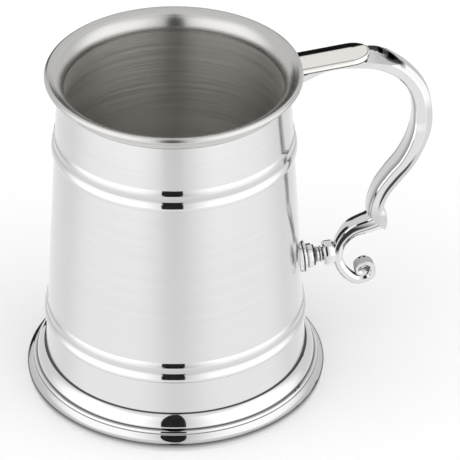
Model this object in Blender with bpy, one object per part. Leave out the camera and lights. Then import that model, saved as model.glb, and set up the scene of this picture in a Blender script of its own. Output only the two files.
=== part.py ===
"""A one-pint pewter tankard: a tapered drum with soldered mouldings and a double-scroll handle.

The drum's axis is Z, and the tankard stands on Z = 0. The handle lies in the XZ plane, on the +X side.
"""

import math

import bmesh
import bpy
import numpy as np
from mathutils import Matrix, Vector

MM = 0.001
GAP = 0.3 * MM  # clearance left between two pieces that are soldered together
CUTTER_MARGIN = 5 * MM  # how far a cutter runs past the shape it cuts

# Drum: a straight-sided cone, open at both ends until the base disc closes it.
DRUM_FOOT_RADIUS = 46.14 * MM  # outside radius, carried down to Z = 0
DRUM_TAPER = 0.061  # the outside radius lost for each unit of height
DRUM_TOP = 113.6 * MM
DRUM_BOTTOM = 0.5 * MM  # clear of the table, so that only the foot ring rests
WALL = 2.4 * MM
SEAT_DEPTH = 0.8 * MM  # depth of the turned seats that hold the girdles
BASE_THICKNESS = 3.0 * MM

# Rim ring: a flared lip with a bead under its edge.
RIM_TOP = DRUM_TOP + 6.4 * MM
RIM_OVERHANG = 4.19 * MM  # how far the lip's edge stands out from the wall at the drum's top
FLARE_RADIUS = 6.3 * MM
FLARE_ANGLE = math.radians(72)  # the turn of the flare, from upright towards level
BEAD_HEIGHT = 2.6 * MM

# Girdles: the same moulding twice, a stepped fillet over a wider bead.
GIRDLE_BOTTOMS = {"lower_girdle": 23.6 * MM, "upper_girdle": DRUM_TOP - 23.3 * MM}
GIRDLE_BEAD_HEIGHT = 3.7 * MM
GIRDLE_BEAD_PROUD = 1.1 * MM
GIRDLE_BAND_HEIGHT = 2.5 * MM
GIRDLE_BAND_PROUD = 0.5 * MM
GIRDLE_SWEEP_HEIGHT = 1.8 * MM

# Foot ring: an ovolo over a hollow, with an upright edge at the table.
FOOT_HEIGHT = 11.3 * MM
FOOT_RADIUS = DRUM_FOOT_RADIUS + 5.96 * MM
OVOLO_BOTTOM = 7.0 * MM
OVOLO_RADIUS = DRUM_FOOT_RADIUS + 2.46 * MM
HOLLOW_TOP = 6.3 * MM
HOLLOW_RADIUS = DRUM_FOOT_RADIUS + 3.36 * MM
FOOT_EDGE_TOP = 2.5 * MM
FOOT_ROUNDING = 0.7 * MM

# Thumb plate: a flat tongue on the handle's shoulder, rising a little towards its round tip.
PLATE_LENGTH = 21.4 * MM
PLATE_WIDTH = 13.0 * MM
PLATE_THICKNESS = 1.9 * MM
PLATE_DROP = 0.45 * MM  # from the lip's top down to the plate's upper face, where it meets the rim
PLATE_SLOPE = 0.078
PLATE_CHAMFER = 0.45 * MM

# The handle is drawn against a drum of this foot radius and top height, and is fitted to the real one.
DRAWN_RADIUS = 46.14 * MM
DRAWN_TOP = 113.6 * MM
# Upper scroll: centre points (X, Z) and half the thickness in the handle's plane.
UPPER_SCROLL = (
    (38.0, 112.2, 2.8),
    (45.0, 115.8, 2.7),
    (57.0, 118.1, 3.2),
    (67.5, 118.2, 3.9),
    (78.0, 113.2, 3.6),
    (84.9, 102.6, 3.4),
    (85.6, 89.0, 4.1),
    (79.9, 76.0, 4.0),
    (72.6, 66.2, 3.6),
    (70.3, 58.6, 3.4),
    (72.2, 51.0, 3.4),
)
UPPER_WIDTH = 1.3  # the scroll's width over its thickness
# Lower scroll: the same, from the joint under the heel round to the volute.
LOWER_SCROLL = (
    (73.6, 54.9, 3.9),
    (68.6, 52.2, 3.8),
    (62.2, 49.4, 3.4),
    (58.1, 44.2, 2.5),
    (57.3, 37.9, 2.0),
    (59.6, 32.3, 2.1),
    (62.6, 29.6, 1.9),
)
LOWER_WIDTH = 1.05
JOINT = (70.6, 52.4)  # where the two scrolls meet
JOINT_NORMAL = Vector((0.76, 0, 0.65)).normalized()
VOLUTE_CENTRE = (66.4, 31.9)
VOLUTE_RADIUS = 3.9 * MM
VOLUTE_WIDTH = 5.4 * MM

# Strut: a turned baluster from the drum's wall to the lower scroll, square to the wall.
STRUT_POINT = 39.5  # the height of its axis at the wall, on the drawn handle
PAD_RADIUS = 5.6 * MM
PAD_THICKNESS = 2.9 * MM
BALUSTER_PROFILE = ((0.3, 4.4), (1.7, 4.2), (2.3, 3.5), (3.6, 2.4), (4.2, 2.3), (4.6, 2.9), (5.2, 2.4))
COLLAR_RADIUS = 4.5 * MM
COLLAR_START = 5.5 * MM  # past the pad's outer face
COLLAR_END = 9.4 * MM
COLLAR_SIDES = 8

TURNED_STEPS = 48
SMALL_TURNED_STEPS = 24
SCROLL_SIDES = 12
SCROLL_STEPS = 4  # rings between two centre points

# Finishes: colour and roughness.
PEWTER_POLISHED = ((0.80, 0.80, 0.79, 1.0), 0.08)
PEWTER_SATIN = ((0.62, 0.61, 0.59, 1.0), 0.32)
PEWTER_CAST = ((0.78, 0.78, 0.77, 1.0), 0.10)


def clear_scene():
    for obj in list(bpy.data.objects):
        bpy.data.objects.remove(obj, do_unlink=True)


def pewter(name, finish):
    """One piece's own material, in one of the finishes above."""
    colour, roughness = finish
    material = bpy.data.materials.new(name)
    material.use_nodes = True
    shader = material.node_tree.nodes["Principled BSDF"]
    shader.inputs["Base Color"].default_value = colour
    shader.inputs["Metallic"].default_value = 1.0
    shader.inputs["Roughness"].default_value = roughness
    return material


def add_object(name, bm, finish=None):
    """Puts a bmesh into the scene as a smooth-shaded object, or as a hidden cutter if it has no finish."""
    mesh = bpy.data.meshes.new(name)
    bmesh.ops.recalc_face_normals(bm, faces=bm.faces)
    bm.to_mesh(mesh)
    bm.free()
    obj = bpy.data.objects.new(name, mesh)
    bpy.context.scene.collection.objects.link(obj)
    if finish is None:
        obj.hide_render = True
        obj.display_type = "WIRE"
    else:
        mesh.shade_smooth()
        mesh.set_sharp_from_angle(angle=math.radians(40))
        mesh.materials.append(pewter(name, finish))
    return obj


def turned(profile, steps=TURNED_STEPS):
    """Spins a closed (radius, height) outline about Z. Points on the axis are merged into one."""
    bm = bmesh.new()
    verts = [bm.verts.new((r, 0, z)) for r, z in profile]
    edges = [bm.edges.new((a, b)) for a, b in zip(verts, verts[1:] + verts[:1])]
    bmesh.ops.spin(bm, geom=verts + edges, axis=(0, 0, 1), cent=(0, 0, 0),
                   steps=steps, angle=2 * math.pi, use_merge=True)
    bmesh.ops.remove_doubles(bm, verts=bm.verts, dist=1e-6)
    bmesh.ops.dissolve_degenerate(bm, dist=1e-7, edges=bm.edges)
    return bm


def wall_radius(z):
    """The drum's outside radius at a height."""
    return DRUM_FOOT_RADIUS - DRUM_TAPER * z


def rim_radius():
    return wall_radius(DRUM_TOP) + RIM_OVERHANG


def fitted(x, z):
    """A point of the drawn handle, in millimetres, moved out and stretched upwards with the drum."""
    return x * MM + DRUM_FOOT_RADIUS - DRAWN_RADIUS, z * MM * DRUM_TOP / DRAWN_TOP


def arc(centre, radii, start, end, steps):
    """Points of an ellipse's arc in the (radius, height) plane, from one angle to another."""
    angles = np.linspace(start, end, steps)
    return [(centre[0] + radii[0] * math.cos(t), centre[1] + radii[1] * math.sin(t)) for t in angles]


def cut(obj, cutter):
    modifier = obj.modifiers.new("cut_" + cutter.name, "BOOLEAN")
    modifier.operation = "DIFFERENCE"
    modifier.object = cutter


def girdle_height():
    return GIRDLE_BEAD_HEIGHT + GIRDLE_BAND_HEIGHT + GIRDLE_SWEEP_HEIGHT


def drum():
    """The drum's cone, with a shallow seat turned into it for each girdle."""
    outline = [(wall_radius(DRUM_BOTTOM), DRUM_BOTTOM)]
    for bottom in sorted(GIRDLE_BOTTOMS.values()):
        low, high = bottom - GAP, bottom + girdle_height() + GAP
        outline += [(wall_radius(low), low), (wall_radius(low) - SEAT_DEPTH, low)]
        outline += [(wall_radius(high) - SEAT_DEPTH, high), (wall_radius(high), high)]
    outline += [(wall_radius(DRUM_TOP), DRUM_TOP), (wall_radius(DRUM_TOP) - WALL, DRUM_TOP)]
    outline += [(wall_radius(DRUM_BOTTOM) - WALL, DRUM_BOTTOM)]
    return add_object("drum", turned(outline), PEWTER_SATIN)


def base_disc():
    """The floor of the cup, let into the drum's lower end."""
    top = DRUM_BOTTOM + BASE_THICKNESS
    inside = -WALL - GAP
    outline = [(0, DRUM_BOTTOM), (wall_radius(DRUM_BOTTOM) + inside, DRUM_BOTTOM),
               (wall_radius(top) + inside, top), (0, top)]
    return add_object("base_disc", turned(outline), PEWTER_SATIN)


def rim_outline():
    """The lip's section: the flare inside, then the top, the bead and the hollow under it."""
    bottom = DRUM_TOP + GAP
    inner = wall_radius(DRUM_TOP) - WALL
    flare = arc((inner + FLARE_RADIUS, bottom - GAP), (FLARE_RADIUS, FLARE_RADIUS),
                math.pi, math.pi - FLARE_ANGLE, 6)
    bead_radius = BEAD_HEIGHT / 2
    bead = arc((rim_radius() - bead_radius, RIM_TOP - bead_radius), (bead_radius, bead_radius),
               math.radians(75), math.radians(-60), 5)
    neck = wall_radius(bottom) + GAP
    hollow_height = bead[-1][1] - bottom
    hollow_depth = bead[-1][0] - neck
    hollow = arc((bead[-1][0], bottom + 0.15 * hollow_height), (hollow_depth, 0.85 * hollow_height),
                 math.radians(120), math.radians(180), 4)
    return [(inner, bottom)] + flare[1:] + bead + hollow + [(neck, bottom)]


def girdle_outline(bottom):
    """One girdle's section: bead, upright band and a sweep up to the wall. Its back lies in the seat."""
    def proud(height, amount):
        z = bottom + height
        return wall_radius(z) + amount, z

    edge = 0.05 * MM
    outline = [proud(0, edge - SEAT_DEPTH + GAP)]
    for t in np.linspace(0, 1, 6):
        swell = GIRDLE_BEAD_PROUD * math.sin(math.pi * (0.08 + 0.76 * t))
        outline.append(proud(GIRDLE_BEAD_HEIGHT * t, swell))
    band_bottom = GIRDLE_BEAD_HEIGHT + 0.2 * MM
    band_top = GIRDLE_BEAD_HEIGHT + GIRDLE_BAND_HEIGHT
    outline += [proud(band_bottom, GIRDLE_BAND_PROUD), proud(band_top, GIRDLE_BAND_PROUD)]
    for t in (0.35, 0.65, 1.0):
        swell = edge + (GIRDLE_BAND_PROUD - edge) * (1 + math.cos(math.pi * t)) / 2
        outline.append(proud(band_top + GIRDLE_SWEEP_HEIGHT * t, swell))
    outline.append(proud(girdle_height(), edge - SEAT_DEPTH + GAP))
    return outline


def foot_outline():
    """The foot ring's section, from its lip at the drum down to the face that rests on the table."""
    inner_low, inner_high = wall_radius(0) + GAP, wall_radius(FOOT_HEIGHT) + GAP
    ovolo_height = FOOT_HEIGHT - OVOLO_BOTTOM
    ovolo = arc((inner_high, OVOLO_BOTTOM), (OVOLO_RADIUS - inner_high, ovolo_height),
                math.radians(78), 0, 6)
    hollow_height = HOLLOW_TOP - FOOT_EDGE_TOP
    hollow = arc((FOOT_RADIUS, HOLLOW_TOP), (FOOT_RADIUS - HOLLOW_RADIUS, hollow_height),
                 math.pi, math.radians(262), 6)
    rounding = arc((FOOT_RADIUS - FOOT_ROUNDING, FOOT_ROUNDING), (FOOT_ROUNDING, FOOT_ROUNDING),
                   0, -math.pi / 2, 4)
    return ([(inner_high, FOOT_HEIGHT)] + ovolo + hollow + [(FOOT_RADIUS, FOOT_EDGE_TOP - 0.2 * MM)]
            + rounding + [(inner_low, 0)])


def smooth_path(points):
    """A Catmull-Rom curve through (x, z, half thickness) points, sampled at even steps between them."""
    p = np.array([(*fitted(x, z), half * MM) for x, z, half in points])
    p = np.vstack([2 * p[0] - p[1], p, 2 * p[-1] - p[-2]])
    out = []
    for i in range(1, len(p) - 2):
        last = i == len(p) - 3
        for t in np.linspace(0, 1, SCROLL_STEPS + last, endpoint=last):
            out.append(0.5 * (2 * p[i] + (p[i + 1] - p[i - 1]) * t
                              + (2 * p[i - 1] - 5 * p[i] + 4 * p[i + 1] - p[i + 2]) * t**2
                              + (3 * p[i] - p[i - 1] - 3 * p[i + 1] + p[i + 2]) * t**3))
    return np.array(out)


def scroll(points, width, grow=0.0):
    """Carries a rounded section along a path in the XZ plane. Across points to the bend's outer side."""
    path = smooth_path(points)
    along = np.gradient(path[:, :2], axis=0)
    along /= np.linalg.norm(along, axis=1)[:, None]
    across = np.stack([-along[:, 1], along[:, 0]], axis=1)
    angles = np.linspace(0, 2 * math.pi, SCROLL_SIDES, endpoint=False)
    bm = bmesh.new()
    rings = []
    for (x, z, half), (nx, nz) in zip(path, across):
        ring = []
        for angle in angles:
            depth = (half + grow) * math.sin(angle)
            side = (half * width + grow) * math.cos(angle)
            ring.append(bm.verts.new((x + nx * depth, side, z + nz * depth)))
        rings.append(ring)
    for a, b in zip(rings, rings[1:]):
        for i in range(SCROLL_SIDES):
            j = (i + 1) % SCROLL_SIDES
            bm.faces.new((a[i], a[j], b[j], b[i]))
    bm.faces.new(rings[0])
    bm.faces.new(rings[-1])
    bmesh.ops.recalc_face_normals(bm, faces=bm.faces)
    return bm


def keep_beyond(bm, point, normal):
    """Cuts a closed mesh flat at a plane and keeps the side that the normal points to."""
    geometry = bm.verts[:] + bm.edges[:] + bm.faces[:]
    bmesh.ops.bisect_plane(bm, geom=geometry, plane_co=point, plane_no=normal, clear_inner=True)
    bmesh.ops.holes_fill(bm, edges=[e for e in bm.edges if e.is_boundary])


def plate_root():
    """Where the plate starts, a gap clear of the lip."""
    return rim_radius() + GAP


def plate_outline(grow=0.0):
    """The tongue seen from above: straight sides and a half-round tip, grown outwards all round."""
    half = PLATE_WIDTH / 2 + grow
    centre = plate_root() + PLATE_LENGTH - PLATE_WIDTH / 2
    tip = [(centre + half * math.sin(t), half * math.cos(t)) for t in np.linspace(0, math.pi, 13)]
    return [(plate_root() - grow, half)] + tip + [(plate_root() - grow, -half)]


def plate_solid(grow, below, above):
    """The tongue's outline pulled up between two offsets from the plate's sloping upper face."""
    bm = bmesh.new()
    outline = plate_outline(grow)
    height = [RIM_TOP - PLATE_DROP + PLATE_SLOPE * (x - plate_root()) for x, _ in outline]
    low = [bm.verts.new((x, y, h + below)) for (x, y), h in zip(outline, height)]
    high = [bm.verts.new((x, y, h + above)) for (x, y), h in zip(outline, height)]
    bm.faces.new(low)
    bm.faces.new(high)
    for i in range(len(low)):
        j = (i + 1) % len(low)
        bm.faces.new((low[i], low[j], high[j], high[i]))
    return bm


def thumb_plate():
    plate = add_object("thumb_plate", plate_solid(0, -PLATE_THICKNESS, 0), PEWTER_CAST)
    bevel = plate.modifiers.new("edge", "BEVEL")
    bevel.width = PLATE_CHAMFER
    bevel.segments = 2
    bevel.limit_method = "ANGLE"
    bevel.angle_limit = math.radians(60)
    return plate


def add_outside_cutter():
    """Everything within a gap of the drum's and the rim's outer surfaces, as a solid about the axis."""
    widest = RIM_TOP - BEAD_HEIGHT / 2  # the height at which the bead stands out furthest
    outer = [(r, z) for r, z in reversed(rim_outline()) if r > wall_radius(DRUM_TOP)]
    under_lip = [(r + GAP, z) for r, z in outer if z < widest]
    low, high = -CUTTER_MARGIN, RIM_TOP + CUTTER_MARGIN
    outline = [(0, low), (wall_radius(low) + GAP, low), (wall_radius(DRUM_TOP) + GAP, DRUM_TOP)] + under_lip
    outline += [(rim_radius() + GAP, widest), (rim_radius() + GAP, high), (0, high)]
    return add_object("outside_cutter", turned(outline), None)


def joint_point():
    x, z = fitted(*JOINT)
    return Vector((x, 0, z))


def upper_scroll():
    bm = scroll(UPPER_SCROLL, UPPER_WIDTH)
    keep_beyond(bm, joint_point() + JOINT_NORMAL * GAP / 2, JOINT_NORMAL)
    obj = add_object("upper_scroll", bm, PEWTER_CAST)
    cut(obj, bpy.data.objects["outside_cutter"])
    cut(obj, add_object("plate_seat_cutter", plate_solid(GAP, -PLATE_THICKNESS - GAP, CUTTER_MARGIN), None))
    return obj


def lower_scroll():
    bm = scroll(LOWER_SCROLL, LOWER_WIDTH)
    keep_beyond(bm, joint_point() - JOINT_NORMAL * GAP / 2, -JOINT_NORMAL)
    obj = add_object("lower_scroll", bm, PEWTER_CAST)
    volute = bmesh.new()
    bmesh.ops.create_cone(volute, cap_ends=True, segments=20, radius1=VOLUTE_RADIUS,
                          radius2=VOLUTE_RADIUS, depth=VOLUTE_WIDTH)
    bmesh.ops.rotate(volute, verts=volute.verts, matrix=Matrix.Rotation(math.pi / 2, 3, "X"))
    x, z = fitted(*VOLUTE_CENTRE)
    bmesh.ops.translate(volute, verts=volute.verts, vec=(x, 0, z))
    helper = add_object("volute_former", volute, None)
    union = obj.modifiers.new("volute", "BOOLEAN")
    union.operation = "UNION"
    union.object = helper
    return obj


def strut_height():
    """The height of the strut's axis at the wall, with the pad kept clear of the lower girdle."""
    _, height = fitted(0, STRUT_POINT)
    return max(height, GIRDLE_BOTTOMS["lower_girdle"] + girdle_height() + GAP + PAD_RADIUS)


def strut_frame():
    """Carries a piece turned about Z onto the strut's axis, which is square to the drum's wall."""
    tilt = math.atan(DRUM_TAPER)
    turn = Matrix.Rotation(math.pi / 2 - tilt, 4, "Y")
    return Matrix.Translation((wall_radius(strut_height()), 0, strut_height())) @ turn


def place_on_strut(bm):
    bm.transform(strut_frame())


def strut_pad():
    """The round pad soldered to the wall, with a stepped outer face."""
    step = 0.78 * PAD_RADIUS
    outline = [(0, -PAD_THICKNESS), (PAD_RADIUS, -PAD_THICKNESS), (PAD_RADIUS, 0.55 * PAD_THICKNESS),
               (0.93 * PAD_RADIUS, 0.72 * PAD_THICKNESS), (step, 0.78 * PAD_THICKNESS),
               (step, PAD_THICKNESS), (0, PAD_THICKNESS)]
    bm = turned(outline, SMALL_TURNED_STEPS)
    place_on_strut(bm)
    obj = add_object("strut_pad", bm, PEWTER_CAST)
    cut(obj, bpy.data.objects["outside_cutter"])
    return obj


def baluster():
    """The turned neck between the pad and the collar."""
    base = PAD_THICKNESS
    outline = [(0, base + GAP)] + [(r * MM, base + h * MM) for h, r in BALUSTER_PROFILE]
    outline.append((0, base + BALUSTER_PROFILE[-1][0] * MM))
    bm = turned(outline, SMALL_TURNED_STEPS)
    place_on_strut(bm)
    return add_object("baluster", bm, PEWTER_CAST)


def strut_collar():
    """The faceted block that grips the lower scroll, cut to the scroll's back."""
    bm = bmesh.new()
    depth = COLLAR_END - COLLAR_START
    bmesh.ops.create_cone(bm, cap_ends=True, segments=COLLAR_SIDES, radius1=COLLAR_RADIUS,
                          radius2=COLLAR_RADIUS, depth=depth)
    bmesh.ops.rotate(bm, verts=bm.verts, matrix=Matrix.Rotation(math.pi / COLLAR_SIDES, 3, "Z"))
    bmesh.ops.translate(bm, verts=bm.verts, vec=(0, 0, PAD_THICKNESS + (COLLAR_START + COLLAR_END) / 2))
    place_on_strut(bm)
    obj = add_object("strut_collar", bm, PEWTER_CAST)
    cut(obj, add_object("scroll_cutter", scroll(LOWER_SCROLL, LOWER_WIDTH, grow=GAP), None))
    return obj


def main():
    clear_scene()
    drum()
    base_disc()
    add_object("rim_ring", turned(rim_outline()), PEWTER_SATIN)
    for name, bottom in GIRDLE_BOTTOMS.items():
        add_object(name, turned(girdle_outline(bottom)), PEWTER_POLISHED)
    add_object("foot_ring", turned(foot_outline()), PEWTER_POLISHED)
    add_outside_cutter()
    thumb_plate()
    upper_scroll()
    lower_scroll()
    strut_pad()
    baluster()
    strut_collar()


main()
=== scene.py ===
"""A one-pint pewter tankard: spun and polished drum, turned mouldings and a cast double-scroll handle.

The drum's axis is Z, the handle lies in the XZ plane on the +X side, and the table is Z = 0.
Lengths in the tables below are millimetres; every mesh is in metres.
"""

import math

import bpy
import numpy as np
from mathutils import Matrix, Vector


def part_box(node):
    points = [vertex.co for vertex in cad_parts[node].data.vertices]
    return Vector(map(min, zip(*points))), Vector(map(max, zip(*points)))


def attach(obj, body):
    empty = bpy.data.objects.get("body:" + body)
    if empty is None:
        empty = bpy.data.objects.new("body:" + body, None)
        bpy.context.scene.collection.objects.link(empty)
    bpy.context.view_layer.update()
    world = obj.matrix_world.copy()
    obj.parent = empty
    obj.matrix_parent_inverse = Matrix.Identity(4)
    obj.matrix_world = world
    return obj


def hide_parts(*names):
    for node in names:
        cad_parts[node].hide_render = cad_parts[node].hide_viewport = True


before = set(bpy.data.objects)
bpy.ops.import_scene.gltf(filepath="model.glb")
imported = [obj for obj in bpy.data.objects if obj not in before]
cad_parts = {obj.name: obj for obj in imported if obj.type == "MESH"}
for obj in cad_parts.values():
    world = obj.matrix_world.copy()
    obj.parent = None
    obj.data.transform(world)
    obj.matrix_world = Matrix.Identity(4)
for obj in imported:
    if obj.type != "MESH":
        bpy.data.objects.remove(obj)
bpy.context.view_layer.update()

MM = 0.001
NO_LIMIT = 999.0  # a height in millimetres above everything here


def corners(name):
    """A node's lowest and highest corners at rest, in millimetres to the nearest hundredth."""
    return [[round(value / MM, 2) for value in corner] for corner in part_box(name)]


# Heights and widths that the frame's boxes give.
(_, _, DRUM_BOTTOM), (_, _, DRUM_TOP) = corners("drum")
(_, _, FLOOR_TOP) = corners("base_disc")[1]
FOOT_RADIUS = corners("foot_ring")[1][0]
GIRDLES = {name: corners(name)[0][2] for name in ("lower_girdle", "upper_girdle")}

# The drum's cone: its radius at the table, the radius lost per millimetre of height, and its wall.
FOOT_RADIUS_OF_CONE = 46.14
TAPER = 0.061
WALL = 2.4

# The lip.
RIM_TOP = 120.0
RIM_RADIUS = 43.4
FLARE = 6.3
BEAD = 1.3

# Handle: centre points (X, Z), half the depth in the handle's plane and half the width across it.
# The sixteen rows of UPPER_PATH from (66.5, 118.3) to (70.4, 53.8) came from a separate program, which fitted
# them to the handle's outline. Eight of them were then moved. They are not the frame's path: the surface that
# they give lies up to 2.9 mm from the frame's, at the heel.
UPPER_PATH = (
    (38.7, 112.8, 2.8, 4.0),
    (44.0, 114.6, 2.8, 4.2),
    (50.0, 116.9, 2.2, 4.3),
    (56.0, 117.8, 2.0, 4.5),
    (61.5, 118.3, 2.9, 4.9),
    (66.5, 118.3, 3.8, 5.1),
    (70.1, 117.4, 3.9, 5.0),
    (74.0, 115.4, 3.8, 4.9),
    (77.8, 112.6, 3.6, 4.7),
    (81.3, 108.5, 3.7, 4.6),
    (83.7, 103.9, 3.9, 4.5),
    (85.0, 98.4, 4.0, 4.5),
    (85.4, 93.0, 4.2, 4.6),
    (84.9, 88.1, 4.2, 5.0),
    (83.0, 82.1, 4.0, 5.2),
    (80.0, 76.2, 4.0, 5.2),
    (76.3, 71.3, 4.1, 4.9),
    (72.8, 66.3, 3.9, 4.7),
    (70.8, 61.8, 3.6, 4.5),
    (70.0, 58.0, 3.6, 4.4),
    (70.4, 53.8, 4.4, 4.3),
    (69.8, 50.4, 5.2, 4.2),
    (67.0, 46.0, 4.8, 4.0),
    (62.0, 42.0, 4.4, 4.0),
)
LOWER_PATH = (
    (82.5, 61.0, 6.4, 4.6),
    (74.8, 55.0, 5.4, 4.4),
    (68.9, 51.9, 4.2, 4.1),
    (62.2, 49.4, 3.4, 3.6),
    (58.1, 44.2, 2.5, 2.8),
    (57.3, 37.9, 2.0, 2.5),
    (59.6, 32.3, 2.1, 2.4),
    (64.0, 28.4, 2.0, 2.6),
    (69.0, 29.4, 1.7, 2.8),
    (69.4, 33.6, 1.5, 2.9),
    (66.8, 35.2, 1.3, 2.8),
    (64.4, 33.8, 1.1, 2.7),
    (64.6, 31.6, 1.2, 2.6),
    (66.4, 30.9, 1.4, 2.6),
    (67.3, 32.2, 1.5, 2.6),
)
JOINT = (70.6, 52.4)
JOINT_NORMAL = (0.76, 0.65)

# The thumb plate. Its root and width are the frame's.
PLATE_ROOT = corners("thumb_plate")[0][0]
PLATE_WIDTH = 2 * corners("thumb_plate")[1][1]
PLATE_TIP = 66.6
PLATE_THICKNESS = 1.9
PLATE_HEIGHT = 119.55
PLATE_SLOPE = 0.112

# The filed leaf beyond the plate's tip, by X: where its far edge is in Y, and how wide the painted shade
# beside it is.
LEAF_EDGE_X = (65, 67.3, 70, 71.5, 73, 75, 77, 79)
LEAF_EDGE_Y = (2.2, 1.7, 1.2, 0.5, -0.6, -1.7, -2.5, -3.1)
LEAF_DARK_X = (65.5, 67, 70, 75, 79.5)
LEAF_DARK_WIDTH = (0.0, 1.1, 1.4, 1.2, 0.0)
LEAF_SPAN = (64, 80)  # the X range that the file reaches
# The painted shade on the leaf itself, by X: how far it reaches in from the far edge.
WEDGE_X = (71, 74, 79)
WEDGE_REACH = (2.6, 2.4, 0.6)

# The strut.
STRUT_HEIGHT = 39.5
PAD_RADIUS = corners("strut_pad")[1][1]
PAD_THICKNESS = 2.9

# Camera: where the picture is taken from. These values came from a separate program's fit of the view.
CAMERA_TURN = math.radians(10.3)
CAMERA_TILT = math.radians(33.918)
CAMERA_ROLL = math.radians(0.234)
CAMERA_PLACE = (-0.15613, -0.96504, 0.71316)
CAMERA_LENS = 268.0

# Studio light, by azimuth and elevation seen from the tankard, in degrees. 180 is behind the camera.
SOFTBOX_TURNS = (-122, 116)
SOFTBOX_SPREAD = 58
SOFTBOX_CORE = 12
SOFTBOX_GLOW = 0.75
WALL_GLOW = 0.86
FLOOR_GLOW = 0.98
CAMERA_FLAG = ((171.6, -20), (190.2, -20), (190.2, 82), (171.6, 82))
BACK_FLAG = ((-30, -12), (14, -12), (14, 26), (-30, 26))

ACROSS_THE_MARKS = 0.25  # of a turn: highlights stretch at right angles to the tool marks

# ---------------------------------------------------------------- outlines

def wall_radius(z):
    """The radius of the drum's outside at a height."""
    return FOOT_RADIUS_OF_CONE - TAPER * np.asarray(z, float)


def arc(centre, radii, start, end, steps=16):
    """Points of an ellipse's arc: centre + (a cos t, b sin t) for t from start to end in degrees."""
    t = np.radians(np.linspace(start, end, steps))
    return np.stack([centre[0] + radii[0] * np.cos(t), centre[1] + radii[1] * np.sin(t)], axis=1)


def line(*points):
    """Points of an outline, as an array."""
    return np.array(points, float)


def rounded(corners, closed=False, steps=7, support=0.06, labels=False):
    """A line through (x, y, radius) corners, each replaced by the arc that touches both of its sides.

    A point a little before and after each arc keeps the flat sides flat under smooth shading.
    With labels, it also gives the number of the corner that each point rounds, or -1 between corners.
    """
    c = np.array(corners, float)
    p, radius = c[:, :2], c[:, 2]
    before, after = np.roll(p, 1, axis=0), np.roll(p, -1, axis=0)
    a, b = before - p, after - p
    if not closed:
        a[0], b[0] = -b[0], b[0]
        b[-1], a[-1] = -a[-1], a[-1]
    la, lb = np.linalg.norm(a, axis=1), np.linalg.norm(b, axis=1)
    a, b = a / la[:, None], b / lb[:, None]
    half = np.arccos(np.clip((a * b).sum(axis=1), -1, 1)) / 2
    straight = half > math.pi / 2 - 1e-4
    half = np.where(straight, math.pi / 4, half)
    reach = np.where(straight, 0, radius / np.tan(half))
    reach = np.minimum(reach, 0.48 * np.minimum(la, lb))
    true_radius = reach * np.tan(half)
    middle = a + b
    middle /= np.maximum(np.linalg.norm(middle, axis=1), 1e-9)[:, None]
    centre = p + middle * (true_radius / np.sin(half))[:, None]
    turn = np.sign(a[:, 0] * b[:, 1] - a[:, 1] * b[:, 0])
    sweep = -turn * (math.pi - 2 * half)
    t = np.linspace(0, 1, steps)[None, :] * sweep[:, None]
    s = p + a * reach[:, None] - centre
    x = centre[:, :1] + np.cos(t) * s[:, :1] - np.sin(t) * s[:, 1:]
    y = centre[:, 1:] + np.sin(t) * s[:, :1] + np.cos(t) * s[:, 1:]
    pts = np.stack([x, y], axis=2)
    spare = np.minimum(support, 0.1 * np.minimum(la, lb))
    first = p + a * (reach + spare)[:, None]
    last = p + b * (reach + spare)[:, None]
    flat = straight | (radius <= 0)
    pts[flat] = p[flat][:, None]
    first[flat], last[flat] = p[flat], p[flat]
    out = np.concatenate([first[:, None], pts, last[:, None]], axis=1).reshape(-1, 2)
    number = np.repeat(np.arange(len(c))[:, None], steps + 2, axis=1)
    number[:, [0, -1]] = -1
    keep = np.concatenate([[True], np.linalg.norm(np.diff(out, axis=0), axis=1) > 1e-4])
    return (out[keep], number.ravel()[keep]) if labels else out[keep]


def join(*pieces):
    """Outlines end to end, without the points that repeat."""
    out = np.concatenate(pieces)
    keep = np.linalg.norm(np.diff(out, axis=0), axis=1) > 1e-4
    out = out[np.concatenate([[True], keep])]
    return out if np.linalg.norm(out[0] - out[-1]) > 1e-4 else out[:-1]


# ---------------------------------------------------------------- meshes

def signed_volume(points, triangles):
    """A sixth of the sum of a . (b x c) over the triangles: below zero when they point inwards."""
    a, b, c = (points[triangles[:, i]] for i in range(3))
    return np.einsum("ij,ij->i", a, np.cross(b, c)).sum() / 6


def make_mesh(name, points, faces, attribute=None, painted_shade_and_reflection=None):
    """A smooth-shaded closed mesh from points in millimetres and lists of faces, turned outwards."""
    quads = [f for f in faces if f.shape[1] == 4]
    tris = [f for f in faces if f.shape[1] == 3]
    tri = np.concatenate(tris + [q[:, [0, 1, 2]] for q in quads] + [q[:, [0, 2, 3]] for q in quads])
    if signed_volume(points, tri) < 0:
        faces = [f[:, ::-1] for f in faces]
    mesh = bpy.data.meshes.new(name)
    every = sum((f.tolist() for f in faces), [])
    mesh.from_pydata((points * MM).tolist(), [], every)
    mesh.validate()
    mesh.shade_smooth()
    mesh.set_sharp_from_angle(angle=math.radians(48))
    if attribute is not None:
        layer = mesh.attributes.new("lathe", "FLOAT_VECTOR", "POINT")
        layer.data.foreach_set("vector", np.ascontiguousarray(attribute, np.float32).ravel())
    # Per point, from 0 to 1: how much painted shade and painted reflection darken the colour.
    if painted_shade_and_reflection is not None:
        layer = mesh.attributes.new("painted_shade_and_reflection", "FLOAT", "POINT")
        layer.data.foreach_set("value", np.ascontiguousarray(painted_shade_and_reflection, np.float32))
    obj = bpy.data.objects.new(name, mesh)
    bpy.context.scene.collection.objects.link(obj)
    return obj


def grid_faces(rows, columns, wrap_rows, wrap_columns):
    """Quads of a grid of points numbered row by row."""
    i = np.arange(rows if wrap_rows else rows - 1)[:, None]
    j = np.arange(columns if wrap_columns else columns - 1)[None, :]
    i2, j2 = (i + 1) % rows, (j + 1) % columns
    quads = [i * columns + j, i2 * columns + j, i2 * columns + j2, i * columns + j2]
    return np.stack([np.broadcast_to(q, np.broadcast(i, j).shape).ravel() for q in quads], axis=1)


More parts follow.
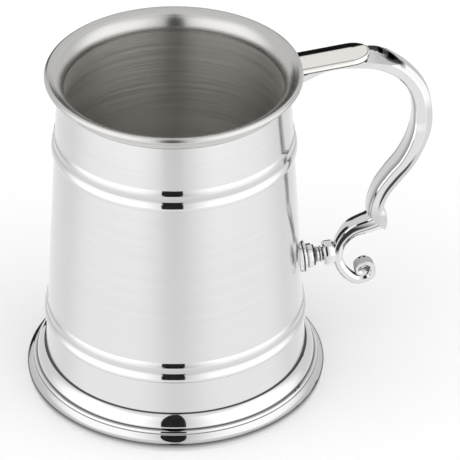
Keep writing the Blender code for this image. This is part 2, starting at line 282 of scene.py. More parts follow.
def crevices(outline, reach=0.25, full=50.0):
    """How much painted shade a closed outline's points take: the inward turn within reach of each, up to
    full.
    """
    before, after = np.roll(outline, 1, axis=0), np.roll(outline, -1, axis=0)
    a, b = outline - before, after - outline
    turn = np.degrees(np.arctan2(a[:, 0] * b[:, 1] - a[:, 1] * b[:, 0], (a * b).sum(axis=1)))
    area = (outline[:, 0] * after[:, 1] - after[:, 0] * outline[:, 1]).sum()
    inward = np.clip(-turn * np.sign(area), 0, None)
    near = np.linalg.norm(outline[:, None] - outline[None], axis=2) < reach
    return np.clip((near * inward[None]).sum(axis=1) / full, 0, 1) * (near * inward[None] > 1).any(axis=1)


def turned(name, outline, around=256, dark=0.0, seam=NO_LIMIT):
    """Spins a closed (radius, height) outline about Z: x = r cos a, y = r sin a.

    A point on the axis is one vertex. The lathe attribute is (r0 cos a, r0 sin a, distance along the
    outline), so that tool marks run round the piece.
    """
    r, z = outline[:, 0], outline[:, 1]
    a = np.linspace(0, 2 * math.pi, around, endpoint=False)
    height = np.broadcast_to(z[:, None], (len(r), around))
    points = np.stack([r[:, None] * np.cos(a), r[:, None] * np.sin(a), height], axis=2)
    along = np.concatenate([[0], np.cumsum(np.linalg.norm(np.diff(outline, axis=0), axis=1))])
    marks = np.stack([np.broadcast_to(np.cos(a) * r.max(), points.shape[:2]),
                      np.broadcast_to(np.sin(a) * r.max(), points.shape[:2]),
                      np.broadcast_to(along[:, None], points.shape[:2])], axis=2)
    faces = grid_faces(len(r), around, True, True)
    pole = np.repeat(r < 1e-6, around)
    first = np.where(pole, np.arange(len(pole)) // around * around, np.arange(len(pole)))
    faces = first[faces]
    same = [faces[:, k] == faces[:, (k + 1) % 4] for k in range(4)]
    whole = ~np.any(same, axis=0)
    lists = [faces[whole]]
    for k in range(4):
        rest = faces[same[k] & (sum(s.astype(int) for s in same) == 1)]
        lists.append(rest[:, [j for j in range(4) if j != (k + 1) % 4]])
    used = np.unique(np.concatenate([f.ravel() for f in lists]))
    number = np.zeros(len(pole), int)
    number[used] = np.arange(len(used))
    lists = [number[f] for f in lists if len(f)]
    # Painted shade: dark times the crevices' amount, and 0.9 above seam, where the piece meets the next one.
    painted_shade_and_reflection = np.repeat(np.maximum(dark * crevices(outline), 0.9 * (outline[:, 1] > seam)), around)
    return make_mesh(name, points.reshape(-1, 3)[used], lists, marks.reshape(-1, 3)[used], painted_shade_and_reflection[used])


def catmull(points, steps):
    """A smooth curve through the points, with even steps between each two."""
    p = np.array(points, float)
    p = np.vstack([2 * p[0] - p[1], p, 2 * p[-1] - p[-2]])
    t = np.linspace(0, 1, steps, endpoint=False)[None, :, None]
    a, b, c, d = p[:-3, None], p[1:-2, None], p[2:-1, None], p[3:, None]
    curve = 0.5 * (2 * b + (c - a) * t + (2 * a - 5 * b + 4 * c - d) * t**2 + (3 * b - a - 3 * c + d) * t**3)
    return np.vstack([curve.reshape(-1, p.shape[1]), p[-2:-1]])


def even(path, spacing):
    """The same curve with points an even distance apart."""
    length = np.concatenate([[0], np.cumsum(np.linalg.norm(np.diff(path[:, :2], axis=0), axis=1))])
    s = np.linspace(0, length[-1], max(4, int(length[-1] / spacing)))
    return np.stack([np.interp(s, length, path[:, k]) for k in range(path.shape[1])], axis=1), s


def smooth(values, times):
    """Takes the kinks out of a row: each number becomes half itself and a quarter of each neighbour."""
    v = values.copy()
    for _ in range(times):
        v[1:-1] = 0.25 * v[:-2] + 0.5 * v[1:-1] + 0.25 * v[2:]
    return v


def swept_points(path, section):
    """Carries a section along a path in the XZ plane.

    path: rows of (x, z, half depth, half width). section: (n, 2) of (across, outwards) from -1 to 1.
    A point is centre + outwards * half depth * normal in the plane, and y = across * half width.
    """
    along = np.gradient(path[:, :2], axis=0)
    along /= np.linalg.norm(along, axis=1)[:, None]
    out = np.stack([-along[:, 1], along[:, 0]], axis=1)
    depth = section[None, :, 1] * path[:, 2:3]
    x = path[:, 0:1] + out[:, 0:1] * depth
    z = path[:, 1:2] + out[:, 1:2] * depth
    y = section[None, :, 0] * path[:, 3:4]
    return np.stack([x, y, z], axis=2)


def end_fans(rows, columns, centre_first, centre_last):
    """Triangles that close both ends of a tube onto two extra points."""
    j = np.arange(columns)
    k = (j + 1) % columns
    low = np.stack([np.full(columns, centre_first), k, j], axis=1)
    top = (rows - 1) * columns
    high = np.stack([np.full(columns, centre_last), top + j, top + k], axis=1)
    return np.concatenate([low, high])


# ---------------------------------------------------------------- drum, base and mouldings

def drum():
    """The spun cone: its outer wall with a seat under each girdle, and its inner wall."""
    low = DRUM_BOTTOM
    outline = [[wall_radius(low), low]]
    seat = ((1, 0), (1.2, 0.6), (6, 0.6), (6.2, 0))
    for bottom in sorted(GIRDLES.values()):
        outline += [[wall_radius(bottom + h) - sunk, bottom + h] for h, sunk in seat]
    outline += [[wall_radius(DRUM_TOP + 0.2), DRUM_TOP + 0.2], [wall_radius(DRUM_TOP) - WALL, DRUM_TOP + 0.2]]
    outline += [[wall_radius(z) - WALL, z] for z in np.linspace(DRUM_TOP, low, 24)]
    shell = turned("drum_shell", np.array(outline), 320)
    middle = np.empty(len(shell.data.polygons) * 3)
    shell.data.polygons.foreach_get("center", middle)
    middle = middle.reshape(-1, 3) / MM
    inside = np.hypot(middle[:, 0], middle[:, 1]) < wall_radius(middle[:, 2]) - WALL / 2
    shell.data.polygons.foreach_set("material_index", inside.astype(np.int32))
    return shell


def base_disc():
    """The floor of the cup, dished up in a small cove where it meets the wall."""
    edge = float(wall_radius(FLOOR_TOP)) - WALL + 0.1
    cove = arc((edge - 2.2, FLOOR_TOP + 2.2), (2.2, 2.2), 0, -90, 12)
    return turned("base_plate", join(cove, line([0, FLOOR_TOP], [0, DRUM_BOTTOM], [edge, DRUM_BOTTOM])), 192)


def rim_ring():
    """The flared lip: the trumpet-shaped inside, a nearly level top band, and the bead over its cove."""
    inner = float(wall_radius(DRUM_TOP)) - WALL
    centre = (inner + FLARE, DRUM_TOP - 0.2)
    flare = arc(centre, (FLARE, FLARE), 180, 108, 36)
    bead_centre = (RIM_RADIUS - BEAD, RIM_TOP - BEAD)
    bead = arc(bead_centre, (BEAD, BEAD), 82, -58, 28)
    cove_top = bead[-1] + (-0.25, -0.12)
    neck = float(wall_radius(DRUM_TOP))
    cove = arc((cove_top[0], DRUM_TOP + 0.2), (cove_top[0] - neck, cove_top[1] - DRUM_TOP - 0.2), 96, 178, 24)
    under = line([neck - 0.6, DRUM_TOP - 0.1], [inner, DRUM_TOP - 0.2])
    return turned("rim_lip", join(flare, bead, cove, under), 320)


def girdle(name, bottom):
    """One girdle: a bead, a quirk, a flat band and a long sweep back up to the wall."""
    bead_low = arc((0.1, 1.4), (1.02, 1.4), -86, 0, 14)
    bead_high = arc((0.1, 1.4), (1.02, 2.25), 0, 62, 18)
    sweep = arc((0.6, 8.0), (0.6, 2.0), 258, 180, 18)
    band = rounded([(bead_high[-1][0], bead_high[-1][1], 0), (0.46, 3.72, 0.12), (0.5, 5.95, 0.15),
                    (sweep[0][0], sweep[0][1], 0)], steps=7)
    shape = join(line([-0.5, 0.0]), bead_low, bead_high, band, sweep, line([-0.5, 8.0]))
    shape = np.stack([wall_radius(bottom + shape[:, 1]) + shape[:, 0], bottom + shape[:, 1]], axis=1)
    # Painted shade in the girdle's quirk and hollows.
    return turned(name + "_moulding", shape, 320, dark=0.45)


def foot_ring():
    """The foot: ovolo, quirk, a thin round edge, a hollow and an upright edge on the table."""
    ovolo = arc((43.62, 6.8), (5.0, 5.0), 66, 3, 30)
    step = ((48.6, 7.0, 0), (48.55, 6.6, 0.08), (49.55, 6.45, 0.2), (49.8, 5.9, 0.2), (49.8, 5.5, 0))
    hollow = arc((FOOT_RADIUS + 0.2, 5.5), (2.52, 2.75), 180, 262, 26)
    edge = rounded([(FOOT_RADIUS - 0.15, 2.75, 0), (FOOT_RADIUS, 2.7, 0.2), (FOOT_RADIUS, 0.0, 0.8),
                    (51.0, 0.0, 0), (46.4, 0.0, 0)])
    outline = join(line([45.0, 11.4]), ovolo, rounded(step), hollow, edge, line([46.1, 0.6]))
    # Painted shade in the foot's quirk and hollow, and a painted dark band along its top, where it meets the
    # wall.
    return turned("foot_moulding", outline, 320, dark=0.8, seam=11.2)


# ---------------------------------------------------------------- handle

def dense(section, labels, spacing):
    """The same closed section with extra points along its long sides, labelled -1."""
    after = np.roll(section, -1, axis=0)
    count = np.maximum(1, np.ceil(np.linalg.norm(after - section, axis=1) / spacing)).astype(int)
    which = np.repeat(np.arange(len(section)), count)
    step = np.arange(len(which)) - np.repeat(np.cumsum(count) - count, count)
    share = (step / count[which])[:, None]
    number = np.where(step == 0, labels[which], -1)
    return section[which] * (1 - share) + after[which] * share, number


OUTER_EDGE = 0.25  # how far outwards the side meets the outer bevel
SECTION_CORNERS = (
    (0, 0.98, 3.0),
    (-0.52, 0.82, 0.16),
    (-0.81, OUTER_EDGE, 0.16),
    (-0.81, -0.51, 0.10),
    (-0.69, -0.69, 0.10),
    (0, -0.80, 3.0),
    (0.69, -0.69, 0.10),
    (0.81, -0.51, 0.10),
    (0.81, OUTER_EDGE, 0.16),
    (0.52, 0.82, 0.16),
)
UPPER_SHOULDER = 112.0  # the height above which the scroll is its shoulder and its root
SIDE_EDGES = (2, 8)  # where the outer bevel meets the side
SIDE_FEET = (3, 7)  # where the side meets the inner bevel
INNER_EDGES = (4, 6)  # where the inner bevel meets the inner face


def handle_section():
    """The cast scroll's section, from -1 to 1: crowned outer face, bevels, flat sides, inner bevels."""
    section, labels = rounded(SECTION_CORNERS, closed=True, steps=7, support=0.02, labels=True)
    return dense(section, labels, 0.065)


def cut_end(points, plane_point, plane_normal, steps):
    """Shortens every lengthwise line of a swept grid so that it ends on a plane.

    The last rings are spread evenly between a kept ring and each line's own crossing of the plane.
    """
    signed = (points[:, :, :3] - plane_point) @ plane_normal
    kept = int(np.argmax((signed < 0).any(axis=1))) - steps
    below = np.argmax(signed < 0, axis=0)
    above = below - 1
    line_number = np.arange(points.shape[1])
    high, low = signed[above, line_number], signed[below, line_number]
    crossing = above + high / (high - low)
    share = np.linspace(0, 1, 3 * steps)[:, None]
    at = kept + share * (crossing - kept)[None, :]
    first = np.clip(at.astype(int), 0, len(points) - 2)
    part = (at - first)[:, :, None]
    tail = points[first, line_number] * (1 - part) + points[first + 1, line_number] * part
    return np.concatenate([points[:kept], tail])


def tube_mesh(name, points, painted_shade_and_reflection):
    """A closed mesh over a grid of rings, with each end closed onto its middle."""
    rows, columns = points.shape[:2]
    ends = np.stack([points[0].mean(axis=0), points[-1].mean(axis=0)])
    middle = rows * columns
    faces = [grid_faces(rows, columns, False, True), end_fans(rows, columns, middle, middle + 1)]
    # Painted shade and painted reflection: each end takes the mean of its ring.
    dark = np.concatenate([painted_shade_and_reflection.ravel(), painted_shade_and_reflection[[0, -1]].mean(axis=1)])
    return make_mesh(name, np.vstack([points.reshape(-1, 3), ends]), faces, painted_shade_and_reflection=dark)


def swept_grid(control, section, spacing):
    """Sweeps the section along the smoothed path at an even spacing."""
    path, _ = even(catmull(control, 40), spacing)
    path = np.stack([path[:, 0], path[:, 1], smooth(path[:, 2], 12), smooth(path[:, 3], 12)], axis=1)
    return swept_points(path, section)


def step_up(value, low, high):
    """0 below low, 1 above high, and an S curve between."""
    t = np.clip((value - low) / (high - low), 0, 1)
    return t * t * (3 - 2 * t)


def hump(value, low, high):
    """0 outside low to high, and a smooth hump up to 1 between them."""
    t = np.clip((value - low) / (high - low), 0, 1)
    return np.sin(math.pi * t)


def filed_leaf(points):
    """The flat left by the file beyond the plate's tip, with a wall up to the shoulder on its far side.

    The flat falls away from the tip. Its far edge runs from the tip across to the shoulder's near side.
    It gives the highest that a point may be, how much of the painted shade beside the wall it takes, and how
    far it is inside.
    """
    x, y = points[:, :, 0], points[:, :, 1]
    flat = 119.7 - 0.24 * (x - 67.3) + 0.25 * (y - 2.0)
    far_edge = np.interp(x, LEAF_EDGE_X, LEAF_EDGE_Y)
    rise = np.clip(y - far_edge, 0, None)
    width = np.interp(x, LEAF_DARK_X, LEAF_DARK_WIDTH)
    dark = step_up(rise, 0.0, 0.3) * (1 - step_up(rise, width, width + 0.2)) * step_up(width, 0.0, 0.3)
    return flat + 1.3 * rise, dark, far_edge - y


def upper_scroll():
    """The big scroll: swept from the wall to the heel, let in under the plate and filed beyond its tip.

    The dark along its edges, and on its outer face and heel, is painted shade and painted reflection.
    """
    section, labels = handle_section()
    grid = swept_grid(UPPER_PATH, section, 0.2)
    x, y, z = grid[:, :, 0], grid[:, :, 1], grid[:, :, 2]
    half = PLATE_WIDTH / 2
    spine = np.clip(x, None, PLATE_TIP - half)
    beyond = np.clip(np.hypot(x - spine, y) - half - 0.12, 0, None)
    seat = PLATE_HEIGHT - PLATE_THICKNESS - 0.1 + PLATE_SLOPE * (x - PLATE_ROOT) + 5.0 * beyond
    seat = np.where(x < PLATE_TIP + 3, seat, NO_LIMIT)
    highest, wall, inside = filed_leaf(grid)
    reach = np.interp(x, WEDGE_X, WEDGE_REACH)
    fade = step_up(x, 71.0, 73.0) * (1 - step_up(x, 77.0, 79.5)) * (1 - step_up(inside / reach, 0.15, 1.0))
    fade = fade * step_up(inside, -0.6, -0.2)
    # Painted shade beside the filed leaf's wall, and on the leaf under the shoulder.
    painted_shade_and_reflection = 0.97 * wall * (z > UPPER_SHOULDER - 4.0)
    painted_shade_and_reflection = np.maximum(painted_shade_and_reflection, 0.95 * fade * (z > UPPER_SHOULDER))
    filed = (x > LEAF_SPAN[0]) & (x < LEAF_SPAN[1])
    grid[:, :, 2] = np.minimum(np.minimum(z, seat), np.where(filed, highest, NO_LIMIT))
    # Painted reflection: a dark crescent along the rounded edge between side and outer face, widest at the
    # waist.
    waist = hump(z, 56.5, 81.5) * (x < 84)
    depth = section[:, 1]
    crescent = step_up(depth, OUTER_EDGE - 0.32 * waist, OUTER_EDGE - 0.16 * waist)
    crescent = crescent * (1 - step_up(depth, 0.27, 0.33))
    painted_shade_and_reflection = np.maximum(painted_shade_and_reflection, crescent * (x > 66) * np.clip(1.6 * waist, 0, 0.95))
    # Painted shade along the creases where the sides meet the inner bevels, and below 55 to 61 mm, by the
    # joint.
    painted_shade_and_reflection = np.maximum(painted_shade_and_reflection, np.isin(labels, SIDE_FEET) * 0.55 * (z < 86))
    painted_shade_and_reflection = np.maximum(painted_shade_and_reflection, 0.2 * (1 - step_up(z, 55.0, 61.0)))
    # Painted reflection on the outer face at the heel.
    painted_shade_and_reflection = np.maximum(painted_shade_and_reflection, 0.16 * step_up(depth, 0.27, 0.33) * step_up(x, 66.5, 70.0))
    # Painted shade where the inner bevels meet the inner face.
    painted_shade_and_reflection = np.maximum(painted_shade_and_reflection, np.isin(labels, INNER_EDGES) * 0.45 * (z < 112))
    # Painted shade of a groove along the inner face, which the mesh does not cut.
    painted_groove_shade = step_up(-depth, 0.67, 0.70) * (1 - step_up(-depth, 0.71, 0.76))
    painted_groove_shade = painted_groove_shade * (x > 66) * step_up(z, 52.0, 60.0) * (1 - step_up(z, 96.0, 108.0))
    painted_shade_and_reflection = np.maximum(painted_shade_and_reflection, 0.42 * painted_groove_shade)
    both = np.dstack([grid, painted_shade_and_reflection])
    plane = np.array([JOINT[0], 0, JOINT[1]]), np.array([JOINT_NORMAL[0], 0, JOINT_NORMAL[1]])
    both = cut_end(both, *plane, 10)
    return tube_mesh("handle_upper_scroll", both[:, :, :3], both[:, :, 3])


def lower_scroll():
    """The small scroll: swept from the joint under the heel round to its volute.

    The dark wedge along its side is painted reflection and painted shade, and so is the dark on its edges and
    low on its inner face.
    """
    section, labels = handle_section()
    grid = swept_grid(LOWER_PATH, section, 0.25)
    depth = section[:, 1]
    height = grid[:, :, 2]
    wedge = hump(height, 40.0, 53.5)
    # Painted shade and painted reflection: dark lines along the side's edges, a dark wedge on the side, and
    # dark low on the inner face.
    painted_shade_and_reflection = np.isin(labels, SIDE_EDGES) * hump(height, 43.0, 56.0) + np.isin(labels, SIDE_FEET) * 0.5
    side = step_up(depth, -0.6, -0.5) * (1 - step_up(depth, -0.05, 0.05))
    painted_shade_and_reflection = np.maximum(painted_shade_and_reflection, side * np.clip(1.8 * wedge, 0, 0.97))
    painted_shade_and_reflection = np.maximum(painted_shade_and_reflection, 0.7 * (1 - step_up(depth, -0.72, -0.6)) * (1 - step_up(height, 32.0, 40.0)))
    both = np.dstack([grid, np.clip(painted_shade_and_reflection, 0, 1)])
    plane = np.array([JOINT[0], 0, JOINT[1]]), -np.array([JOINT_NORMAL[0], 0, JOINT_NORMAL[1]])
    both = cut_end(both[::-1], *plane, 6)
    return tube_mesh("handle_lower_scroll", both[:, :, :3], both[:, :, 3])


def thumb_plate():
    """The tongue: straight sides, a half-round tip, a narrow bevel on the near edge and a broad one opposite.

    Each ring lies inside the outline by its inset and below the face by its drop.
    """
    half = PLATE_WIDTH / 2
    centre = PLATE_TIP - half
    t = np.linspace(-math.pi / 2, math.pi / 2, 49)
    tip = np.stack([centre + half * np.cos(t), half * np.sin(t)], axis=1)
    side = np.linspace(PLATE_ROOT - 1.5, centre, 30)[:-1]
    rim = np.vstack([np.stack([side, np.full(29, -half)], axis=1), tip,
                     np.stack([side[::-1], np.full(29, half)], axis=1)])
    spine = np.stack([np.clip(rim[:, 0], None, centre), np.zeros(len(rim))], axis=1)
    inward = (spine - rim) / half
    edge = [(0, PLATE_THICKNESS), (0, 1.55), (0, 1.5)]
    narrow = [(0, 0.62), (0.05, 0.52), (0.28, 0.28), (0.50, 0.07), (0.62, 0.02), (0.9, 0), (3.0, 0)]
    broad = [(0, 0.85), (0.08, 0.77), (1.9, 0.40), (3.5, 0.10), (3.7, 0.07), (4.1, 0.02), (5.2, 0)]
    near = np.array(edge + narrow)
    far = np.array(edge + broad)
    share = step_up(rim[:, 1] / half, 0.25, 0.95)[None, :, None]
    shape = near[:, None] * (1 - share) + far[:, None] * share
    points = rim[None] + inward[None] * shape[:, :, :1]
    points = np.concatenate([points, (0.8 * spine + 0.2 * points[-1])[None]])
    drop = np.vstack([shape[:, :, 1], np.zeros((1, len(rim)))])
    z = PLATE_HEIGHT + PLATE_SLOPE * (points[:, :, 0] - PLATE_ROOT) - drop
    # Painted shadow along the bottom of the side wall, where the plate sits on the scroll. Painted shade on
    # the near bevel's crease and on the broad far bevel.
    painted_shade_and_reflection = np.zeros(z.shape)
    painted_shade_and_reflection[0:2] = 0.9
    painted_shade_and_reflection[6:8] = 0.6 * (1 - share[:, :, 0])
    painted_shade_and_reflection[3:7] = np.maximum(painted_shade_and_reflection[3:7], 0.9 * share[:, :, 0])
    return tube_mesh("thumb_piece", np.dstack([points, z]), painted_shade_and_reflection)


def on_strut(obj):
    """Lays a piece turned about Z along the strut's axis, square to the drum's wall."""
    turn = Matrix.Rotation(math.pi / 2 - math.atan(TAPER), 4, "Y")
    place = Matrix.Translation((float(wall_radius(STRUT_HEIGHT)) * MM, 0, STRUT_HEIGHT * MM))
    obj.data.transform(place @ turn)
    return obj


def strut_pad():
    """The round pad on the wall: a thin disc, a quirk and a smaller domed disc."""
    face = rounded([(PAD_RADIUS - 0.1, -0.6, 0), (PAD_RADIUS - 0.1, 0.9, 0.3), (PAD_RADIUS - 0.55, 1.0, 0.1),
                    (PAD_RADIUS - 0.55, 1.25, 0.1), (PAD_RADIUS, 1.3, 0.15), (PAD_RADIUS, 2.1, 0.6),
                    (4.5, 2.5, 0.3), (4.3, PAD_THICKNESS, 0.1), (0, PAD_THICKNESS, 0)])
    # Painted shade in the pad's quirk and corners.
    return on_strut(turned("strut_wall_pad", join(face, line([0, -0.6])), 96, dark=1.0))


def baluster():
    """The turned neck: a saucer, a cove and two ring beads."""
    saucer = rounded([(0, PAD_THICKNESS, 0), (4.35, 2.95, 0.1), (4.3, 4.3, 0.5), (3.6, 5.0, 0.3)])
    cove = arc((4.6, 6.9), (2.0, 1.8), 250, 190, 10)
    ring = arc((2.3, 7.5), (0.6, 0.42), -80, 80, 12)
    end = line([2.3, 8.0], [2.3, 8.6], [0, 8.6])
    # Painted shade in the baluster's cove and beside its ring.
    return on_strut(turned("strut_baluster", join(saucer, cove, ring, end), 96, dark=1.0))


def strut_collar():
    """The faceted block that grips the lower scroll: eight flats with bevelled ends."""
    columns = 8 * 6
    a = np.linspace(0, 2 * math.pi, columns, endpoint=False)
    fold = (a + math.pi / 8) % (math.pi / 4) - math.pi / 8
    flat = np.cos(math.pi / 8) / np.cos(fold)
    height = np.array([8.3, 8.3, 8.9, 8.95, 9.0, 11.5, 11.55, 11.6, 12.3, 12.3])
    reach = np.array([0.0, 3.9, 4.45, 4.5, 4.52, 4.52, 4.5, 4.45, 4.0, 0.0])
    points = np.dstack([reach[:, None] * np.cos(a) * flat, reach[:, None] * np.sin(a) * flat,
                        np.broadcast_to(height[:, None], (len(height), columns))])
    rows = len(height) - 2
    body = points[1:-1]
    ends = np.array([[0, 0, height[0]], [0, 0, height[-1]]])
    middle = rows * columns
    faces = [grid_faces(rows, columns, False, True), end_fans(rows, columns, middle, middle + 1)]
    return on_strut(make_mesh("strut_faceted_collar", np.vstack([body.reshape(-1, 3), ends]), faces))


# ---------------------------------------------------------------- materials

def linear(hex_colour):
    """An sRGB hex colour as linear red, green, blue and alpha."""
    c = np.array([int(hex_colour[i:i + 2], 16) for i in (1, 3, 5)]) / 255
    c = np.where(c <= 0.04045, c / 12.92, ((c + 0.055) / 1.055) ** 2.4)
    return (*c.tolist(), 1.0)


def node(tree, kind, settings=(), links=()):
    """Adds one node. settings: {input or property: value}. links: (input, node, output) for each wire."""
    made = tree.nodes.new(kind)
    for key, value in dict(settings).items():
        if isinstance(key, int) or key in made.inputs:
            made.inputs[key].default_value = value
        else:
            setattr(made, key, value)
    for socket, source, output in links:
        tree.links.new(source.outputs[output], made.inputs[socket])
    return made


def new_pewter(name, roughness, anisotropy=0.0):
    """A metal with its own constant sockets set, and its tree, shader and output ready for a pattern."""
    material = bpy.data.materials.new(name)
    material.use_nodes = True
    tree = material.node_tree
    shader = tree.nodes["Principled BSDF"]
    shader.inputs["Metallic"].default_value = 1.0
    shader.inputs["Roughness"].default_value = roughness
    shader.inputs["Anisotropic"].default_value = anisotropy
    shader.inputs["Anisotropic Rotation"].default_value = ACROSS_THE_MARKS if anisotropy else 0.0
    return material, tree, shader


def ramp(tree, source, output, low, high):
    """A colour between two sRGB hex colours, by a pattern from 0 to 1."""
    settings = {"data_type": "RGBA", 6: linear(low), 7: linear(high)}
    return node(tree, "ShaderNodeMix", settings, [(0, source, output)])


def spread(tree, source, output, low, high, start=0.3, end=0.7):
    """A number that runs from low to high as a pattern runs from start to end."""
    settings = {"From Min": start, "From Max": end, "To Min": low, "To Max": high}
    return node(tree, "ShaderNodeMapRange", settings, [("Value", source, output)])


def range_map(tree, value, output, settings):
    """A range of one number mapped to another by an S curve."""
    return node(tree, "ShaderNodeMapRange", {"interpolation_type": "SMOOTHSTEP", **settings},
                [("Value", value, output)])


def polished_pewter(name, low, high, roughness, ripple):
    """Pewter buffed on a mop: a bright, faintly grey mirror whose surface is never quite flat.

    The eye gets clear reflections that swim a little over 5 mm, and a slightly softer shine in faint patches.
    """
    material, tree, shader = new_pewter(name, roughness)
    place = node(tree, "ShaderNodeTexCoord")
    patches = node(tree, "ShaderNodeTexNoise", {"Scale": 55.0, "Detail": 3.0}, [("Vector", place, "Object")])
    swim = node(tree, "ShaderNodeTexNoise", {"Scale": 190.0, "Detail": 1.0}, [("Vector", place, "Object")])
    colour = ramp(tree, patches, "Fac", low, high)
    # Painted shade and painted reflection: each point's stored amount darkens the colour towards #1E1E20, in
    # creases, at joints and on edges that reflect dark surroundings.
    painted_dark_node = node(tree, "ShaderNodeAttribute", {"attribute_name": "painted_shade_and_reflection"})
    darkest = {"data_type": "RGBA", 7: linear("#1E1E20")}
    colour = node(tree, "ShaderNodeMix", darkest, [(0, painted_dark_node, "Fac"), (6, colour, 2)])
    rough = spread(tree, patches, "Fac", roughness * 0.75, roughness * 1.35)
    bump = node(tree, "ShaderNodeBump", {"Strength": ripple, "Distance": 0.0001}, [("Height", swim, "Fac")])
    tree.links.new(colour.outputs[2], shader.inputs["Base Color"])
    tree.links.new(rough.outputs["Result"], shader.inputs["Roughness"])
    tree.links.new(bump.outputs["Normal"], shader.inputs["Normal"])
    return material


def turned_pewter(name, low, high, roughness, anisotropy, marks_per_mm, depth, spread_of_roughness):
    """Pewter finished on the lathe: fine marks run round the piece and stretch each highlight across them.

    The marks come from the piece's own lathe attribute, in millimetres: a few long patches round it, and
    marks_per_mm along its outline. Real marks are about 0.05 mm apart, too fine to show, so these are
    coarser.
    """
    material, tree, shader = new_pewter(name, roughness, anisotropy)
    lathe = node(tree, "ShaderNodeAttribute", {"attribute_name": "lathe"})
    on_lathe = [("Vector", lathe, "Vector")]
    fine = node(tree, "ShaderNodeMapping", {"Scale": (0.035, 0.035, marks_per_mm)}, on_lathe)
    broad = node(tree, "ShaderNodeMapping", {"Scale": (0.012, 0.012, marks_per_mm * 0.16)}, on_lathe)
    grain = {"Scale": 1.0, "Detail": 2.0, "Roughness": 0.7}
    marks = node(tree, "ShaderNodeTexNoise", grain, [("Vector", fine, "Vector")])
    bands = node(tree, "ShaderNodeTexNoise", {"Scale": 1.0, "Detail": 2.0}, [("Vector", broad, "Vector")])
    both = node(tree, "ShaderNodeMath", {"operation": "MULTIPLY_ADD", 1: 0.65}, [(0, marks, "Fac")])
    share = node(tree, "ShaderNodeMath", {"operation": "MULTIPLY", 1: 0.35}, [(0, bands, "Fac")])
    tree.links.new(share.outputs[0], both.inputs[2])
    colour = ramp(tree, spread(tree, both, 0, 0.0, 1.0), "Result", low, high)
    smoothest, roughest = roughness * (1 - spread_of_roughness), roughness * (1 + spread_of_roughness)
    rough = spread(tree, both, 0, smoothest, roughest)
    bump = node(tree, "ShaderNodeBump", {"Strength": depth, "Distance": 0.0001}, [("Height", both, 0)])
    round_axis = node(tree, "ShaderNodeTangent", {"direction_type": "RADIAL", "axis": "Z"})
    tree.links.new(colour.outputs[2], shader.inputs["Base Color"])
    tree.links.new(rough.outputs["Result"], shader.inputs["Roughness"])
    tree.links.new(bump.outputs["Normal"], shader.inputs["Normal"])
    tree.links.new(round_axis.outputs["Tangent"], shader.inputs["Tangent"])
    return material


# ---------------------------------------------------------------- stage

def stage_panel(name, outline, material):
    """One flat face that belongs to the studio, not to the tankard."""
    mesh = bpy.data.meshes.new(name)
    mesh.from_pydata(outline, [], [tuple(range(len(outline)))])
    mesh.materials.append(material)
    obj = bpy.data.objects.new(name, mesh)
    bpy.context.scene.collection.objects.link(obj)
    return obj


def direction(azimuth, elevation, distance):
    """A point seen from the tankard: degrees round from straight away from the camera, and degrees up."""
    a, e = math.radians(azimuth) + CAMERA_TURN, math.radians(elevation)
    level = distance * math.cos(e)
    return (level * math.sin(a), level * math.cos(a), distance * math.sin(e))


def plain(name, colour, roughness=0.9):
    """One flat colour, for paper and felt."""
    material = bpy.data.materials.new(name)
    material.use_nodes = True
    material.node_tree.nodes["Principled BSDF"].inputs["Base Color"].default_value = linear(colour)
    material.node_tree.nodes["Principled BSDF"].inputs["Roughness"].default_value = roughness
    return material


def stage():
    """A white floor, a white surround with a broad soft light on each side, and two black felt flags.

    The flags are out of the camera's sight and cast no shadow: they only darken what the metal reflects.
    """
    s = 6.0
    floor = [(-s, -s, 0), (s, -s, 0), (s, s, 0), (-s, s, 0)]
    floor = stage_panel("floor", floor, plain("white_paper", "#FAFAFA"))
    floor.visible_glossy = False
    felt = plain("black_felt", "#1C1C1C", 1.0)
    for name, outline in (("camera_flag", CAMERA_FLAG), ("back_flag", BACK_FLAG)):
        flag = stage_panel(name, [direction(a, e, 3.0) for a, e in outline], felt)
        flag.visible_camera = False
        flag.visible_diffuse = False
        flag.visible_shadow = False
    world = bpy.data.worlds.new("studio")
    world.use_nodes = True
    tree = world.node_tree
    place = node(tree, "ShaderNodeTexCoord")
    level = {"operation": "MULTIPLY", 1: (1, 1, 0)}
    level = node(tree, "ShaderNodeVectorMath", level, [(0, place, "Generated")])
    level = node(tree, "ShaderNodeVectorMath", {"operation": "NORMALIZE"}, [(0, level, 0)])
    height = node(tree, "ShaderNodeSeparateXYZ", links=[(0, place, "Generated")])
    total = None
    for azimuth in SOFTBOX_TURNS:
        facing = {"operation": "DOT_PRODUCT", 1: direction(azimuth, 0, 1.0)}
        facing = node(tree, "ShaderNodeVectorMath", facing, [(0, level, 0)])
        glow = range_map(tree, facing, "Value", {"From Min": math.cos(math.radians(SOFTBOX_SPREAD)),
                                                 "From Max": math.cos(math.radians(SOFTBOX_CORE)),
                                                 "To Min": 0.0, "To Max": SOFTBOX_GLOW})
        total = glow if total is None else node(tree, "ShaderNodeMath", {"operation": "ADD"},
                                                [(0, total, 0), (1, glow, 0)])
    below = range_map(tree, height, "Z", {"From Min": -0.46, "From Max": -0.36, "To Min": 0.25, "To Max": 1})
    above = range_map(tree, height, "Z", {"From Min": 0.75, "From Max": 0.92, "To Min": 1.0, "To Max": 0.2})
    total = node(tree, "ShaderNodeMath", {"operation": "MULTIPLY"}, [(0, total, 0), (1, below, 0)])
    total = node(tree, "ShaderNodeMath", {"operation": "MULTIPLY"}, [(0, total, 0), (1, above, 0)])
    base = spread(tree, height, "Z", FLOOR_GLOW, WALL_GLOW, -0.6, -0.2)
    total = node(tree, "ShaderNodeMath", {"operation": "ADD"}, [(0, total, 0), (1, base, 0)])
    background = tree.nodes["Background"]
    background.inputs["Color"].default_value = (1.0, 1.0, 1.0, 1.0)
    tree.links.new(total.outputs[0], background.inputs["Strength"])
    bpy.context.scene.world = world


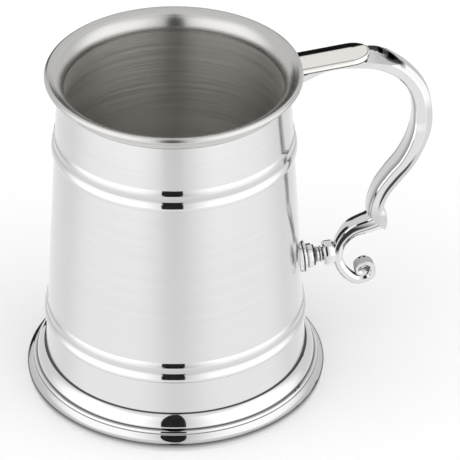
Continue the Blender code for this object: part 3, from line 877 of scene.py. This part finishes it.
def camera():
    """A long lens from the front, above the tankard."""
    data = bpy.data.cameras.new("camera")
    data.lens = CAMERA_LENS
    data.sensor_width = 36
    data.clip_end = 50
    obj = bpy.data.objects.new("camera", data)
    turn = Matrix.Rotation(-CAMERA_TURN, 4, "Z") @ Matrix.Rotation(math.pi / 2 - CAMERA_TILT, 4, "X")
    obj.matrix_world = Matrix.Translation(CAMERA_PLACE) @ turn @ Matrix.Rotation(CAMERA_ROLL, 4, "Z")
    bpy.context.scene.collection.objects.link(obj)
    bpy.context.scene.camera = obj


# ---------------------------------------------------------------- assembly

# Mouldings: a near mirror. Plate: a fine satin that stays pale. Scrolls and strut: a mirror that ripples a
# little, as a hand-finished casting does. Wall: soft reflections with the faintest marks. Lip: clearer marks.
# Inside: coarse dark lathe marks with no clear reflection.
BRIGHT = polished_pewter("mop_polished_pewter", "#D8D8D8", "#DCDCDC", 0.045, 0.05)
PLATE = polished_pewter("plate_pewter_fine_satin", "#EEECE7", "#F4F2EE", 0.10, 0.05)
CAST = polished_pewter("hand_polished_cast_pewter", "#D8D8D9", "#DDDDDD", 0.06, 0.25)
WALLS = turned_pewter("drum_pewter_satin_outside", "#D6D6D6", "#DADADA", 0.13, 0.4, 4.0, 0.03, 0.15)
LIP = turned_pewter("lip_pewter_satin", "#BFBEBC", "#CDCCCA", 0.26, 0.7, 3.0, 0.08, 0.2)
LATHE = turned_pewter("lathe_brushed_pewter", "#C2BFBA", "#DCD9D4", 0.42, 0.9, 3.4, 0.22, 0.12)


def fit(obj, nodes, slot, *materials):
    """Gives a piece its materials, lets it ride with the tankard and stand for its frame nodes."""
    for material in materials:
        obj.data.materials.append(material)
    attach(obj, "root")
    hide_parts(*nodes)


fit(drum(), ["drum"], "drum_pewter", WALLS, LATHE)
fit(base_disc(), ["base_disc"], "base_pewter", LATHE)
fit(rim_ring(), ["rim_ring"], "rim_pewter", LIP)
for girdle_name, girdle_bottom in GIRDLES.items():
    fit(girdle(girdle_name, girdle_bottom), [girdle_name], "girdle_pewter", BRIGHT)
fit(foot_ring(), ["foot_ring"], "foot_pewter", BRIGHT)
fit(upper_scroll(), ["upper_scroll"], "handle_pewter", CAST)
fit(lower_scroll(), ["lower_scroll"], "handle_pewter", CAST)
fit(thumb_plate(), ["thumb_plate"], "plate_pewter", PLATE)
fit(strut_pad(), ["strut_pad"], "strut_pewter", CAST)
fit(baluster(), ["baluster"], "strut_pewter", CAST)
fit(strut_collar(), ["strut_collar"], "strut_pewter", CAST)

stage()
camera()
bpy.context.scene.view_settings.view_transform = "Standard"
